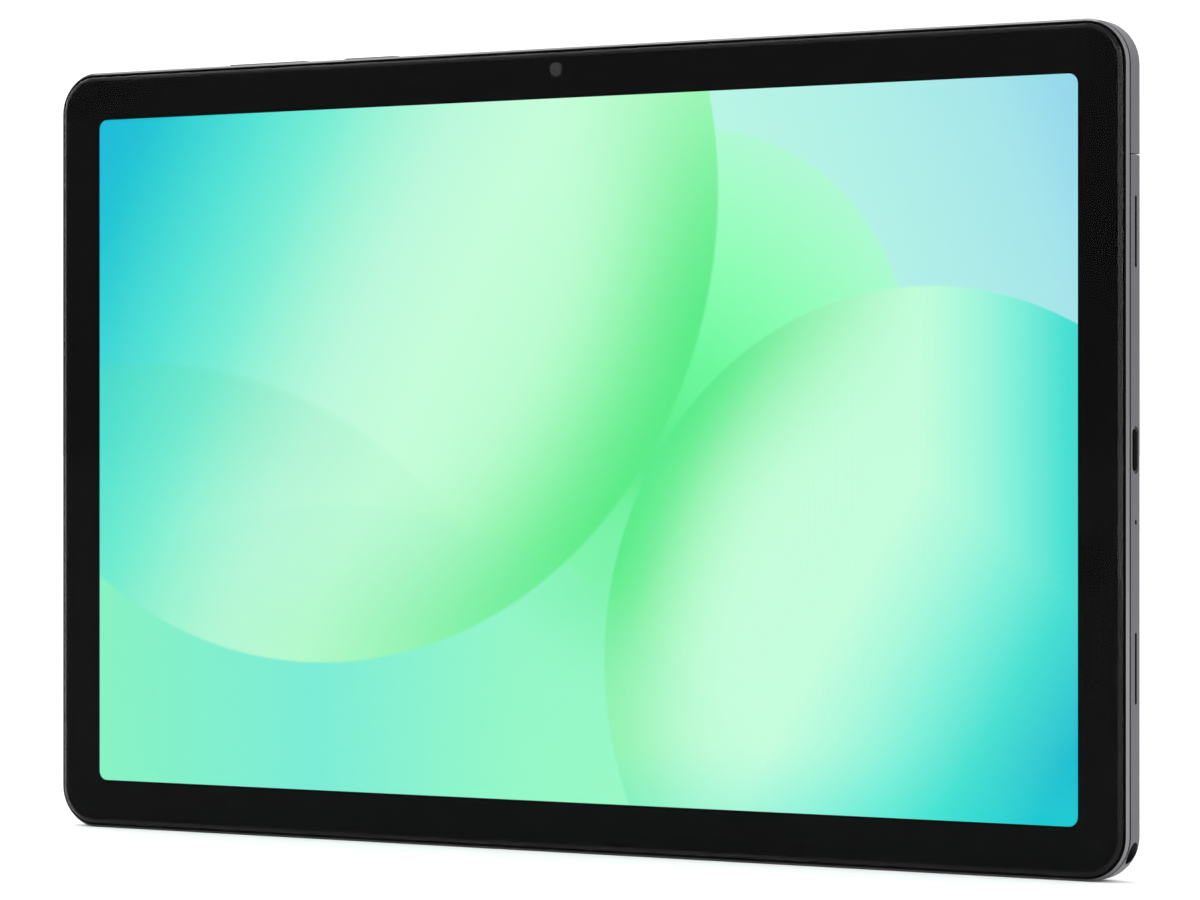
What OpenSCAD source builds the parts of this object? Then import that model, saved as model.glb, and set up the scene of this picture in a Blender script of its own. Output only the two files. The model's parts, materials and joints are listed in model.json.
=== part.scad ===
// Slim tablet computer, 11 inch class, 16:10 screen.
//
// Row frame: +X along the long edge towards the charging socket, the screen faces -Y, +Z is up,
// and the origin is the middle of the bottom edge. Every piece is drawn lying on its back
// (x along the long edge, y up the screen from the bottom edge, z from the back towards the
// glass) and is then stood up by stood_up().

/* [Body] */
// Length of the body along its long edge
body_w = 257.1; // [256:0.1:259]
// Height of the body along its short edge
body_h = 168.7; // [168:0.1:170]
// Thickness from the front of the glass to the back
body_t = 6.9; // [6.9:0.05:7.3]
// Outer corner radius, seen from the front
corner_r = 9; // [8.8:0.1:12]
// Wall thickness of the rear housing
wall = 1.2; // [1.1:0.05:1.25]
// Floor thickness of the rear housing
floor_t = 0.8; // [0.75:0.05:0.8]
// Radius of the edge round the back
back_edge_r = 0.5; // [0.4:0.05:0.8]

/* [Front] */
// Gap from the outer edge of the body to the edge of the glass
glass_inset = 1; // [0.9:0.05:1.1]
// Thickness of the cover glass
glass_t = 0.7; // [0.6:0.05:0.75]
// Width of the curved edge of the glass
glass_curve_w = 1.36; // [1:0.01:1.5]
// Drop of the curved edge of the glass
glass_curve_h = 0.45; // [0.3:0.01:0.5]
// Width of the visible screen window
window_w = 236; // [234:0.1:236.5]
// Height of the visible screen window
window_h = 147.4; // [146:0.1:147.8]
// Corner radius of the screen window
window_r = 2; // [1:0.1:4]
// Width of the bright chamfer round the glass
chamfer_w = 0.45; // [0.3:0.05:0.5]
// Height of the front frame's outer face below its chamfer
frame_lip = 0.19; // [0.15:0.01:0.25]
// Height of the parting groove between front frame and rear housing
parting_gap = 0.5; // [0.2:0.05:0.5]

/* [Sockets] */
// Height of the socket centres above the back
port_z = 2.4; // [2.35:0.05:2.45]
// Length of the opening round the USB-C receptacle
usb_mouth_l = 9.2; // [9.1:0.05:9.4]
// Width of the opening round the USB-C receptacle
usb_mouth_w = 3.3; // [3.3:0.05:3.4]
// Bore radius of the headphone socket
jack_r = 1.8; // [1.75:0.01:1.85]
// Bore length of the headphone socket
jack_l = 14; // [12:0.5:14]
// Distance of the headphone socket's axis from the bottom edge
jack_y = 5.65; // [5.5:0.05:5.8]
// Height of the headphone socket's axis above the back
jack_z = 2.55; // [2.5:0.05:2.55]
// Length of each speaker slot
speaker_slot_l = 14.1; // [12:0.1:15]
// Width of each speaker slot
speaker_slot_w = 1; // [0.8:0.1:1.2]
// Distance of each speaker slot's middle from the middle of the side
speaker_offset = 42.65; // [42:0.05:43]
// Distance of the microphone hole below the middle of the side
mic_offset = 14.1; // [13.5:0.1:15]

/* [Keys and card tray] */
// Length of the volume key
volume_l = 20.7; // [19:0.1:21]
// Middle of the volume key along the top edge
volume_x = -74.85; // [-76:0.05:-74]
// Length of the power key
power_l = 13.9; // [12:0.1:14]
// Middle of the power key along the top edge
power_x = -48.15; // [-49:0.05:-47]
// Width of the keys across the top edge
key_w = 2.4; // [2.2:0.1:2.5]
// Height of the keys above the top edge
key_proud = 0.45; // [0.3:0.05:0.6]
// Running gap round each key and round the card tray's face
key_gap = 0.12; // [0.1:0.01:0.15]
// Middle of the card tray's frame along the top edge
tray_x = 34; // [33:0.1:35]
// Length of the card tray behind its face
tray_l = 31; // [30:0.5:31]

/* [Back] */
// Distance of the antenna cover's seam from the bottom edge
seam_y = 142.05; // [141.5:0.05:142.5]
// Width of the antenna cover's seam
seam_gap = 0.2; // [0.15:0.05:0.3]
// Distance of the rear camera's axis from both edges
camera_inset = 13.2; // [13:0.1:13.5]
// Outer radius of the rear camera's ring
camera_ring_r = 6; // [5.6:0.1:6.3]
// Height of the rear camera's ring above the back
camera_proud = 0.8; // [0.5:0.1:1]

/* [Hidden] */
$fn = 96;
side_x = body_w / 2;
mid_y = body_h / 2;
cut = 1;

// Stack of layers, as heights above the back
glass_z = body_t - glass_t;
print_t = 0.08;
print_z = glass_z - print_t;
adhesive_t = 0.15;
adhesive_z = print_z - adhesive_t;
cell_t = 0.8;
cell_z = adhesive_z - cell_t;
ledge_z = cell_z + cell_t / 2;
film_t = 0.2;
film_z = cell_z - 0.05 - film_t;
guide_t = 0.5;
guide_z = film_z - guide_t;
tray_floor_t = 0.15;
tray_floor_z = guide_z - 0.02 - tray_floor_t;
tape_t = 0.08;
tape_z = tray_floor_z - tape_t;
plate_t = 0.48;
plate_z = tape_z - 0.02 - plate_t;
plate_top = plate_z + plate_t;
plate_inset = 3.2;
shelf_z = print_z - 0.22;

// Edge of the front frame and of the rear housing
frame_lip_z = body_t - 1.45;
chamfer_z = frame_lip_z + frame_lip;
frame_top = chamfer_z + 0.66;
frame_inset = wall + 0.1;
gap_in = chamfer_w + 0.1;
housing_top = frame_lip_z - parting_gap;
inner_x = side_x - wall;
inner_y = body_h - wall;
glass_curve_r = (glass_curve_w * glass_curve_w + glass_curve_h * glass_curve_h) / (2 * glass_curve_h);
lap = 3;
clip_l = 6;
clip_z = 4.4;
clip_h = 0.5;
clip_d = 0.3;

// Display module: left, right, bottom and top edges of its metal tray
module_left = -122.2;
module_right = 120.5;
module_bottom = 8.75;
module_top = 159.95;
module_wall = 0.2;
ledge_w = 2.6;
opening_gap = 0.7;
display_flex_y = 152;
display_flex_w = 14;
flex_t = 0.13;
led_count = 34;

// Cameras
front_camera_y = body_h - 4.55;
front_camera_size = 5.4;
front_lens_r = 1.5;
front_glass_r = 0.8;
aperture_r = 1.52;
camera_x = side_x - camera_inset;
camera_y = body_h - camera_inset;
camera_hole_r = 5.2;
camera_glass_r = 3.95;
camera_size = 9;

// Boards
board_left = -102;
board_right = 104;
board_bottom = 131;
board_top = 158.5;
board_t = 0.6;
board_z = plate_z - 0.32 - board_t;
board_holes = [[-97, 134.5], [-97, 155], [-42, 145], [22.5, 134.5], [22.5, 155.5],
               [46, 134.5], [60, 146], [100, 134.5], [100, 155]];
// Shield cans as middle x, middle y, width, height
cans = [[-68, 146, 40, 20], [-22, 144, 24, 18], [8, 146, 22, 20], [80, 146, 26, 18]];
can_h = 1.4;
can_t = 0.12;
// Chips as middle x, middle y, width, height, thickness
chip_list = [[-76, 146, 14, 14, 0.9], [-58, 146, 11.5, 13, 0.8], [-22, 146, 12, 9, 0.8],
             [-27, 139, 5, 5, 0.6], [-17, 139, 4, 4, 0.6], [8, 148, 9, 9, 0.8],
             [4, 140, 5, 4, 0.6], [13, 140, 4, 4, 0.6], [76, 146, 10, 10, 0.8], [87, 146, 6, 8, 0.7]];
// Board connectors as middle x, middle y, width, height
connector_list = [[-97, 145, 5, 11], [-5, 133.2, 9, 2.6], [98.5, 141, 4, 5], [-57, 157, 6, 2],
                  [101, 148, 3, 6], [46, 155.5, 7, 2.6]];
connector_h = 0.8;
socket_board_left = 108.5;
socket_board_right = 126.2;
socket_board_z = 2;
socket_board_holes = [[112.5, 64.5], [112.5, 104.2]];
socket_board_bottom = 60;
socket_board_top = 108.7;

// USB-C receptacle
usb_shell_l = 8.94;
usb_shell_w = 3.16;
usb_wall = 0.3;
usb_depth = 7.3;
usb_front_x = side_x - 0.25;
usb_tongue_l = 6.69;
usb_tongue_t = 0.7;
usb_pin_pitch = 0.5;

// Headphone socket
jack_end = 125.2;
jack_body_l = 12.7;
jack_body_h = 4.8;
jack_nose_r = 2.1;
jack_mouth_r = 2.15;
jack_point_l = 0.8;
jack_point_r = 0.8;
jack_body_x = jack_end - jack_l - jack_point_l - 0.3;
jack_body_z0 = jack_z - jack_nose_r - 0.05;
jack_body_z1 = jack_z + jack_nose_r + 0.05;

// Speakers
speaker_w = 16;
speaker_h = 27;
speaker_z0 = 0.95;
speaker_z1 = 3.5;
speaker_x = 108;
speaker_ear_x = 112.5;
speaker_ear_y = 15.6;
speaker_ear_z = 2.4;
speaker_ear_t = 0.7;
mesh_t = 0.3;

// Battery
cell_pack_w = 100;
cell_pack_h = 92;
cell_pack_y = 24;
cell_pack_z = 1;
cell_pack_t = 2.5;

// Keys, in the thickness of the top wall
key_flange_y = 166.5;
key_flange_t = 0.7;
key_flange_over = 0.9;
key_flange_h = 2.2;
nub_r = 0.8;
nub_l = 0.4;
nub_x = 7;
dome_r = 1.15;
dome_h = 0.28;
bracket_y = 164.3;
bracket_t = 1;
bracket_left = -91.5;
bracket_right = -37;
bracket_ears = [-94.5, -33.8];
bracket_ear_y = 163;
key_flex_y = bracket_y + bracket_t;

// Antenna cables
cable_r = 0.4;
cable_bend = 1.5;
cable_z = 2;

// Card tray and its reader
tray_w = 13.8;
tray_t = 1.05;
tray_z = 1.4;
tray_face_w = 18.6;
tray_face_h = 2.5;
tray_face_t = 1.1;
tray_face_x = tray_x + 2;
tray_y = inner_y + 0.1 - tray_l;
pin_hole_r = 0.45;
pin_hole_x = tray_x + 9.8;
reader_wall = 0.15;
reader_gap = 0.2;
reader_top = 165.6;

// Screws: M1.4, without threads
screw_r = 0.65;
screw_hole_r = 0.72;
screw_head_r = 1.3;
screw_head_t = 0.4;
standoff_r = 1.7;

// ---- Helpers ----

// Stands the lying tablet up on its bottom edge, with the screen towards -Y
module stood_up() {
    translate([0, body_t / 2, 0])
        rotate([90, 0, 0])
            children();
}

// Rectangle with exact round corners, centred
module rounded_rect(w, h, r) {
    square([w - 2 * r, h], center = true);
    square([w, h - 2 * r], center = true);
    for (sx = [-1, 1], sy = [-1, 1])
        translate([sx * (w / 2 - r), sy * (h / 2 - r)])
            circle(r = r);
}

// Slot with round ends, centred, its length along the first axis
module stadium(l, w) {
    square([l - w, w], center = true);
    for (s = [-1, 1])
        translate([s * (l - w) / 2, 0])
            circle(d = w);
}

// Outline of the body, drawn in by inset
module body_outline(inset) {
    translate([0, mid_y])
        rounded_rect(body_w - 2 * inset, body_h - 2 * inset, corner_r - inset);
}

// Flat layer of a 2D shape between two heights
module layer(z0, z1) {
    translate([0, 0, z0])
        linear_extrude(z1 - z0)
            children();
}

// Box from its lowest to its highest corner
module span(a, b) {
    translate(a)
        cube(b - a);
}

// Sweeps a profile round the body: its x counts from the centre of each corner outwards
module rim_sweep() {
    w = body_w;
    h = body_h;
    for (s = [[0, w, h], [90, h, w], [180, w, h], [270, h, w]])
        translate([0, mid_y, 0])
            rotate(s[0])
                translate([s[1] / 2 - corner_r, 0, 0]) {
                    rotate([90, 0, 0])
                        linear_extrude(s[2] - 2 * corner_r, center = true)
                            children();
                    translate([0, s[2] / 2 - corner_r, 0])
                        rotate_extrude(angle = 90)
                            children();
                }
}

// Block inside the rim sweep, between two heights
module rim_core(z0, z1) {
    translate([corner_r - side_x, corner_r, z0])
        cube([body_w - 2 * corner_r, body_h - 2 * corner_r, z1 - z0]);
}

// Extrudes a 2D shape, drawn as along-the-side by height, from x0 to x1
module through_side(x0, x1, y, z) {
    translate([x0, y, z])
        rotate([90, 0, 90])
            linear_extrude(x1 - x0)
                children();
}

// Extrudes a 2D shape, drawn as x by height, from y0 to y1
module through_top(y0, y1, x, z) {
    translate([x, y1, z])
        rotate([90, 0, 0])
            linear_extrude(y1 - y0)
                children();
}

// Bevel round a slot's mouth in the right side, opening outwards
module side_bevel(y, z, l, w, b) {
    translate([side_x - b, y, z]) {
        for (s = [-1, 1])
            translate([0, s * (l - w) / 2, 0])
                rotate([0, 90, 0])
                    cylinder(h = 2 * b, r1 = w / 2, r2 = w / 2 + 2 * b);
        rotate([90, 0, 0])
            linear_extrude(l - w, center = true)
                polygon([[0, -w / 2], [2 * b, -w / 2 - 2 * b], [2 * b, w / 2 + 2 * b], [0, w / 2]]);
    }
}

// Both sides of the tablet
module both_sides() {
    for (s = [0, 1])
        mirror([s, 0, 0])
            children();
}

// Screw with its head towards the back: z is the underside of the head
module screw(x, y, z, l) {
    translate([x, y, z - screw_head_t])
        difference() {
            union() {
                cylinder(h = screw_head_t, r = screw_head_r);
                cylinder(h = screw_head_t + l, r = screw_r);
            }
            for (a = [0, 90])
                rotate(a)
                    translate([0, 0, screw_head_t / 4])
                        cube([1.6 * screw_r * 2, 0.28, screw_head_t], center = true);
        }
}

// ---- Front: glass and display ----

module glass_profile() {
    r = corner_r - glass_inset;
    intersection() {
        translate([0, glass_z])
            square([r, glass_t]);
        union() {
            square([r - glass_curve_w, body_t]);
            translate([r - glass_curve_w, body_t - glass_curve_r])
                circle(r = glass_curve_r);
        }
    }
}

module cover_glass() {
    color([0.05, 0.06, 0.07, 0.5])
        stood_up() {
            rim_sweep()
                glass_profile();
            rim_core(glass_z, body_t);
        }
}

module screen_window(gap) {
    translate([0, mid_y])
        rounded_rect(window_w - 2 * gap, window_h - 2 * gap, window_r);
}

module bezel_print() {
    color([0.08, 0.08, 0.08])
        stood_up()
            layer(print_z, glass_z)
                difference() {
                    body_outline(glass_inset + 0.05);
                    screen_window(0);
                    translate([0, front_camera_y])
                        circle(r = aperture_r);
                }
}

module display_sheet(left, gap) {
    translate([left, module_bottom + gap])
        square([module_right - gap - left, module_top - module_bottom - 2 * gap]);
}

module optical_adhesive() {
    color([0.9, 0.92, 0.95, 0.5])
        stood_up() {
            layer(print_z, glass_z)
                screen_window(0.05);
            layer(adhesive_z, print_z)
                display_sheet(module_left + ledge_w + 0.6, 0.6);
        }
}

module display_cell() {
    color([0.35, 0.85, 0.7])
        stood_up() {
            layer(ledge_z, adhesive_z)
                display_sheet(module_left + ledge_w + 0.4, 0.4);
            layer(cell_z, ledge_z)
                display_sheet(module_left + 0.4, 0.4);
        }
}

module diffuser_films() {
    color([0.95, 0.95, 0.95])
        stood_up()
            layer(film_z, film_z + film_t)
                display_sheet(module_left + 0.6, 0.6);
}

module light_guide() {
    color([0.85, 0.93, 0.95])
        stood_up()
            layer(guide_z, guide_z + guide_t)
                difference() {
                    display_sheet(module_left + 0.6, 0.6);
                    translate([module_left, module_bottom])
                        square([module_right - module_left, 2.2]);
                }
}

module led_strip() {
    pitch = (module_right - module_left - 8) / led_count;
    color([0.95, 0.9, 0.6])
        stood_up() {
            span([module_left + 1, module_bottom + 0.4, guide_z],
                 [module_right - 1, module_bottom + 1.5, guide_z + 0.1]);
            for (i = [0 : led_count - 1])
                translate([module_left + 4 + pitch * i, module_bottom + 1.2, guide_z + 0.1])
                    cube([2.8, 0.9, 0.35]);
        }
}

module display_tray() {
    color([0.62, 0.63, 0.65])
        stood_up()
            difference() {
                span([module_left, module_bottom, tray_floor_z], [module_right, module_top, shelf_z]);
                span([module_left + module_wall, module_bottom + module_wall,
                      tray_floor_z + tray_floor_t],
                     [module_right - module_wall, module_top - module_wall, shelf_z + cut]);
                span([module_left - cut, display_flex_y - display_flex_w / 2 - 0.5, ledge_z - 0.05],
                     [module_left + cut, display_flex_y + display_flex_w / 2 + 0.5, shelf_z + cut]);
            }
}

module display_tape() {
    color([0.12, 0.12, 0.12])
        stood_up()
            layer(tape_z, tray_floor_z)
                difference() {
                    display_sheet(module_left + 1, 1);
                    display_sheet(module_left + 6, 6);
                }
}

module display_flex() {
    y0 = display_flex_y - display_flex_w / 2;
    y1 = display_flex_y + display_flex_w / 2;
    x0 = module_left - 0.65;
    z0 = plate_z - 0.25;
    color([0.8, 0.5, 0.2])
        stood_up() {
            span([x0, y0, ledge_z], [module_left + ledge_w - 0.2, y1, ledge_z + flex_t]);
            span([x0, y0, z0], [x0 + flex_t, y1, ledge_z + flex_t]);
            span([x0, y0, z0], [board_left + 3, y1, z0 + flex_t]);
        }
}

module glass_gasket() {
    color([0.04, 0.04, 0.04])
        stood_up()
            rim_sweep()
                polygon([[corner_r - 2.6, shelf_z],
                         [corner_r - gap_in - 0.02, shelf_z],
                         [corner_r - gap_in - 0.02, print_z + 0.03],
                         [corner_r - glass_inset + 0.02, print_z + 0.03],
                         [corner_r - glass_inset + 0.02, print_z],
                         [corner_r - 2.6, print_z]]);
}

// ---- Frame, support plate and shells ----

module frame_profile() {
    polygon([[0, plate_top],
             [corner_r - frame_inset, plate_top],
             [corner_r - frame_inset, frame_lip_z],
             [corner_r, frame_lip_z],
             [corner_r, chamfer_z],
             [corner_r - chamfer_w, frame_top],
             [corner_r - gap_in, frame_top],
             [corner_r - gap_in, shelf_z],
             [0, shelf_z]]);
}

// Snap clips on the shells' inner walls; extra makes the pockets for them in the front frame
module clips(extra) {
    z0 = clip_z - extra;
    z1 = clip_z + clip_h + extra;
    for (x = [-105, -20, 62, 100]) {
        half = clip_l / 2 + extra;
        span([x - half, wall - 0.1, z0], [x + half, wall + clip_d + extra, z1]);
        span([x - half, inner_y - clip_d - extra, z0], [x + half, inner_y + 0.1, z1]);
    }
    both_sides()
        for (y = [24, 60, 108, 153]) {
            half = clip_l / 2 + extra;
            span([inner_x - clip_d - extra, y - half, z0], [inner_x + 0.1, y + half, z1]);
        }
}

module front_frame() {
    color([0.62, 0.62, 0.64])
        stood_up()
            difference() {
                union() {
                    rim_sweep()
                        frame_profile();
                    rim_core(plate_top, shelf_z);
                }
                span([module_left - opening_gap - 0.1, module_bottom - 0.4, plate_top - cut],
                     [module_right + opening_gap, module_top + 0.45, body_t]);
                translate([0, front_camera_y, body_t / 2])
                    cube([front_camera_size + 0.4, front_camera_size + 0.4, body_t], center = true);
                span([jack_body_x - 0.2, jack_y - jack_body_h / 2 - 0.2, plate_top - cut],
                     [jack_body_x + jack_body_l + 0.2, jack_y + jack_body_h / 2 + 0.2,
                      jack_body_z1 + 0.1]);
                translate([jack_body_x, jack_y, jack_z])
                    rotate([0, 90, 0])
                        cylinder(h = side_x, r = jack_mouth_r);
                clips(0.06);
            }
}

module standoff(x, y, z) {
    translate([x, y, z])
        cylinder(h = plate_z - z + 0.1, r = standoff_r);
}

module support_plate() {
    all_speaker_holes = [for (sx = [-1, 1], sy = [-1, 1], e = [-1, 1])
        [sx * speaker_ear_x, mid_y + sy * speaker_offset + e * speaker_ear_y]];
    ear_holes = [for (x = bracket_ears) [x, bracket_ear_y]];
    color([0.55, 0.56, 0.58])
        stood_up()
            difference() {
                union() {
                    layer(plate_z, plate_top)
                        body_outline(plate_inset);
                    for (p = concat(board_holes, ear_holes))
                        standoff(p[0], p[1], board_z + board_t);
                    for (p = socket_board_holes)
                        standoff(p[0], p[1], socket_board_z + board_t);
                    for (p = all_speaker_holes)
                        standoff(p[0], p[1], speaker_ear_z + speaker_ear_t);
                }
                for (p = concat(board_holes, ear_holes, socket_board_holes, all_speaker_holes))
                    translate([p[0], p[1], 0])
                        cylinder(h = body_t, r = screw_hole_r);
                translate([0, front_camera_y, body_t / 2])
                    cube([front_camera_size + 0.8, front_camera_size + 0.8, body_t], center = true);
                span([usb_front_x - usb_depth - 1, mid_y - 5.5, 0], [side_x, mid_y + 5.5, body_t]);
                span([jack_body_x - 0.4, 0, 0], [side_x, jack_y + jack_body_h / 2 + 0.5, body_t]);
                span([module_left - 0.9, display_flex_y - display_flex_w / 2 - 0.6, 0],
                     [module_left - 0.2, display_flex_y + display_flex_w / 2 + 0.6, body_t]);
            }
}

module shell_profile() {
    difference() {
        square([corner_r, housing_top]);
        difference() {
            translate([corner_r - back_edge_r, -cut])
                square([back_edge_r + cut, back_edge_r + cut]);
            translate([corner_r - back_edge_r, back_edge_r])
                circle(r = back_edge_r);
        }
    }
}

// Whole back shell, before it is parted along the seam
module back_shell() {
    difference() {
        union() {
            rim_sweep()
                shell_profile();
            rim_core(0, housing_top);
        }
        layer(floor_t, body_t)
            body_outline(wall);
    }
}

module speaker_places() {
    both_sides()
        for (s = [-1, 1])
            translate([0, mid_y + s * speaker_offset, 0])
                children();
}

module rear_housing() {
    color([0.46, 0.46, 0.48])
        stood_up()
            difference() {
                union() {
                    intersection() {
                        union() {
                            back_shell();
                            clips(0);
                        }
                        span([-body_w, -cut, -cut], [body_w, seam_y - seam_gap / 2, body_t]);
                    }
                    span([8 - side_x, seam_y - 1, floor_t / 2 + 0.02],
                         [side_x - 8, seam_y + lap, floor_t]);
                }
                speaker_places()
                    through_side(side_x - 2 * wall, side_x + cut, 0, port_z)
                        stadium(speaker_slot_l, speaker_slot_w);
                through_side(side_x - 2 * wall, side_x + cut, mid_y, port_z)
                    stadium(usb_mouth_l, usb_mouth_w);
                side_bevel(mid_y, port_z, usb_mouth_l, usb_mouth_w, 0.12);
                translate([side_x - 2 * wall, mid_y - mic_offset, port_z])
                    rotate([0, 90, 0])
                        cylinder(h = 3 * wall, r = 0.5);
                translate([jack_body_x + jack_body_l - cut, jack_y, jack_z])
                    rotate([0, 90, 0])
                        cylinder(h = side_x, r = jack_mouth_r);
                span([jack_body_x - 0.2, jack_y - jack_body_h / 2 - 0.2, jack_body_z0 - 0.05],
                     [jack_body_x + jack_body_l + 0.2, jack_y + jack_body_h / 2 + 0.2, 2 * floor_t]);
            }
}

module key_slot(x, l) {
    through_top(inner_y - cut, body_h + cut, x, port_z)
        rounded_rect(l + 2 * key_gap, key_w + 2 * key_gap, key_w / 2);
}

module antenna_cover() {
    color([0.47, 0.47, 0.49])
        stood_up()
            difference() {
                intersection() {
                    union() {
                        back_shell();
                        clips(0);
                    }
                    span([-body_w, seam_y + seam_gap / 2, -cut], [body_w, body_h + cut, body_t]);
                }
                span([7.8 - side_x, seam_y - cut, floor_t / 2],
                     [side_x - 7.8, seam_y + lap + 0.2, 2 * floor_t]);
                key_slot(volume_x, volume_l);
                key_slot(power_x, power_l);
                through_top(inner_y - cut, body_h + cut, tray_face_x, port_z)
                    rounded_rect(tray_face_w + 2 * key_gap, tray_face_h + 2 * key_gap, 1);
                translate([camera_x, camera_y, -cut])
                    cylinder(h = 2 * floor_t + cut, r = camera_hole_r);
            }
}

// ---- Keys ----

module key_body(x, l, nubs) {
    through_top(key_flange_y, body_h + key_proud - 0.2, x, port_z)
        rounded_rect(l, key_w, key_w / 2 - 0.1);
    through_top(body_h + key_proud - 0.2, body_h + key_proud, x, port_z)
        rounded_rect(l - 0.3, key_w - 0.3, key_w / 2 - 0.25);
    through_top(key_flange_y, key_flange_y + key_flange_t, x, port_z)
        square([l + 2 * key_flange_over, key_flange_h], center = true);
    for (n = nubs)
        through_top(key_flange_y - nub_l, key_flange_y + 0.1, x + n, port_z)
            circle(r = nub_r);
}

module volume_key() {
    color([0.5, 0.5, 0.52])
        stood_up()
            key_body(volume_x, volume_l, [-nub_x, nub_x]);
}

module power_key() {
    color([0.5, 0.5, 0.52])
        stood_up()
            key_body(power_x, power_l, [0]);
}

module key_bracket() {
    color([0.7, 0.7, 0.72])
        stood_up()
            difference() {
                union() {
                    span([bracket_left, bracket_y, 1], [bracket_right, bracket_y + bracket_t, 3.3]);
                    for (x = bracket_ears)
                        translate([x, bracket_ear_y, board_z])
                            cylinder(h = board_t, r = 2);
                    span([bracket_ears[0], bracket_ear_y, board_z],
                         [bracket_left + 1, bracket_y + bracket_t, board_z + board_t]);
                    span([bracket_right - 1, bracket_ear_y, board_z],
                         [bracket_ears[1], bracket_y + bracket_t, board_z + board_t]);
                    span([volume_x - 0.8, bracket_y, port_z - 0.9],
                         [volume_x + 0.8, key_flange_y - 0.12, port_z + 0.7]);
                }
                for (x = bracket_ears)
                    translate([x, bracket_ear_y, 0])
                        cylinder(h = body_t, r = screw_hole_r + 0.08);
            }
}

dome_places = [volume_x - nub_x, volume_x + nub_x, power_x];

module key_flex() {
    z1 = plate_z - 0.12;
    color([0.8, 0.5, 0.2])
        stood_up()
            difference() {
                union() {
                    span([bracket_left + 1, key_flex_y, 1.3], [bracket_right - 1, key_flex_y + flex_t, 3.35]);
                    span([-60, key_flex_y, 3.2], [-54, key_flex_y + flex_t, z1]);
                    span([-60, 155.5, z1 - flex_t], [-54, key_flex_y + flex_t, z1]);
                }
                span([volume_x - 1, key_flex_y - cut, 0], [volume_x + 1, key_flex_y + cut, 3.2]);
            }
}

module key_domes() {
    color([0.8, 0.8, 0.82])
        stood_up()
            for (x = dome_places)
                through_top(key_flex_y + flex_t, key_flex_y + flex_t + dome_h, x, port_z)
                    circle(r = dome_r);
}

// ---- Card tray ----

module card_tray() {
    color([0.49, 0.49, 0.51])
        stood_up()
            difference() {
                union() {
                    span([tray_x - tray_w / 2, tray_y, tray_z],
                         [tray_x + tray_w / 2, inner_y + 0.3, tray_z + tray_t]);
                    through_top(body_h - tray_face_t, body_h, tray_face_x, port_z)
                        rounded_rect(tray_face_w, tray_face_h, 0.9);
                }
                // memory card pocket, then SIM pocket, each with an open window in its floor
                span([tray_x - 5.6, inner_y - 17, tray_z - cut],
                     [tray_x + 5.6, inner_y - 1.6, tray_z + 0.8]);
                span([tray_x - 4, inner_y - 15.5, tray_z - cut],
                     [tray_x + 4, inner_y - 3, tray_z + 2 * tray_t]);
                span([tray_x - 4.5, tray_y + 1, tray_z - cut],
                     [tray_x + 4.5, tray_y + 13.4, tray_z + 0.8]);
                span([tray_x - 3, tray_y + 2.5, tray_z - cut],
                     [tray_x + 3, tray_y + 12, tray_z + 2 * tray_t]);
                through_top(inner_y - cut, body_h + cut, pin_hole_x, port_z)
                    circle(r = pin_hole_r);
            }
}

module card_reader() {
    w = tray_w / 2 + reader_gap;
    z0 = tray_z - 0.1;
    z1 = tray_z + tray_t + 0.1;
    color([0.75, 0.75, 0.77])
        stood_up()
            difference() {
                span([tray_x - w - reader_wall, tray_y - 1.2, z0 - reader_wall],
                     [tray_x + w + reader_wall, reader_top, z1 + reader_wall]);
                span([tray_x - w, tray_y - 0.5, z0], [tray_x + w, reader_top + cut, z1]);
                for (y = [tray_y + 7, tray_y + 22])
                    span([tray_x - 3.5, y - 4, z0 - 2 * reader_wall], [tray_x + 3.5, y + 4, z0 + 0.05]);
            }
}

// ---- Cameras ----

module front_camera() {
    half = front_camera_size / 2;
    color([0.18, 0.18, 0.19])
        stood_up()
            translate([0, front_camera_y, 0])
                difference() {
                    union() {
                        span([-half, -half, 2.6], [half, half, shelf_z - 0.7]);
                        cylinder(h = print_z - 0.05, r = front_lens_r);
                    }
                    translate([0, 0, -cut])
                        cylinder(h = 2.6 + cut, r = 2 * front_lens_r);
                    translate([0, 0, print_z - 0.45])
                        cylinder(h = cut, r = front_glass_r + 0.02);
                }
}

module front_camera_lens() {
    color([0.02, 0.02, 0.04])
        stood_up()
            translate([0, front_camera_y, print_z - 0.45])
                cylinder(h = 0.3, r = front_glass_r);
}

module rear_camera() {
    half = camera_size / 2;
    color([0.15, 0.15, 0.16])
        stood_up()
            translate([camera_x, camera_y, 0]) {
                span([-half, -half, 1.6], [half, half, plate_z - 0.1]);
                translate([0, 0, 0.5])
                    cylinder(h = 1.2, r = 2.8);
                span([-half - 6, -3, plate_z - 0.35], [-half + 0.5, 3, plate_z - 0.22]);
            }
}

module rear_camera_ring() {
    color([0.6, 0.6, 0.62])
        stood_up()
            translate([camera_x, camera_y, 0])
                rotate_extrude()
                    polygon([[camera_glass_r + 0.03, -camera_proud],
                             [camera_ring_r - 0.35, -camera_proud],
                             [camera_ring_r, 0.35 - camera_proud],
                             [camera_ring_r, 0],
                             [camera_hole_r - 0.1, 0],
                             [camera_hole_r - 0.1, 0.9],
                             [3.3, 0.9],
                             [3.3, 0.3],
                             [camera_glass_r + 0.03, 0.3]]);
}

module rear_camera_glass() {
    color([0.03, 0.03, 0.04])
        stood_up()
            translate([camera_x, camera_y, -camera_proud + 0.2])
                cylinder(h = camera_proud + 0.08, r = camera_glass_r);
}

module rear_camera_foam() {
    color([0.1, 0.1, 0.1])
        stood_up()
            translate([camera_x, camera_y, 0.92])
                difference() {
                    cylinder(h = 0.66, r = 4.4);
                    translate([0, 0, -cut])
                        cylinder(h = 3, r = 2.9);
                }
}

// ---- Battery ----

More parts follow.
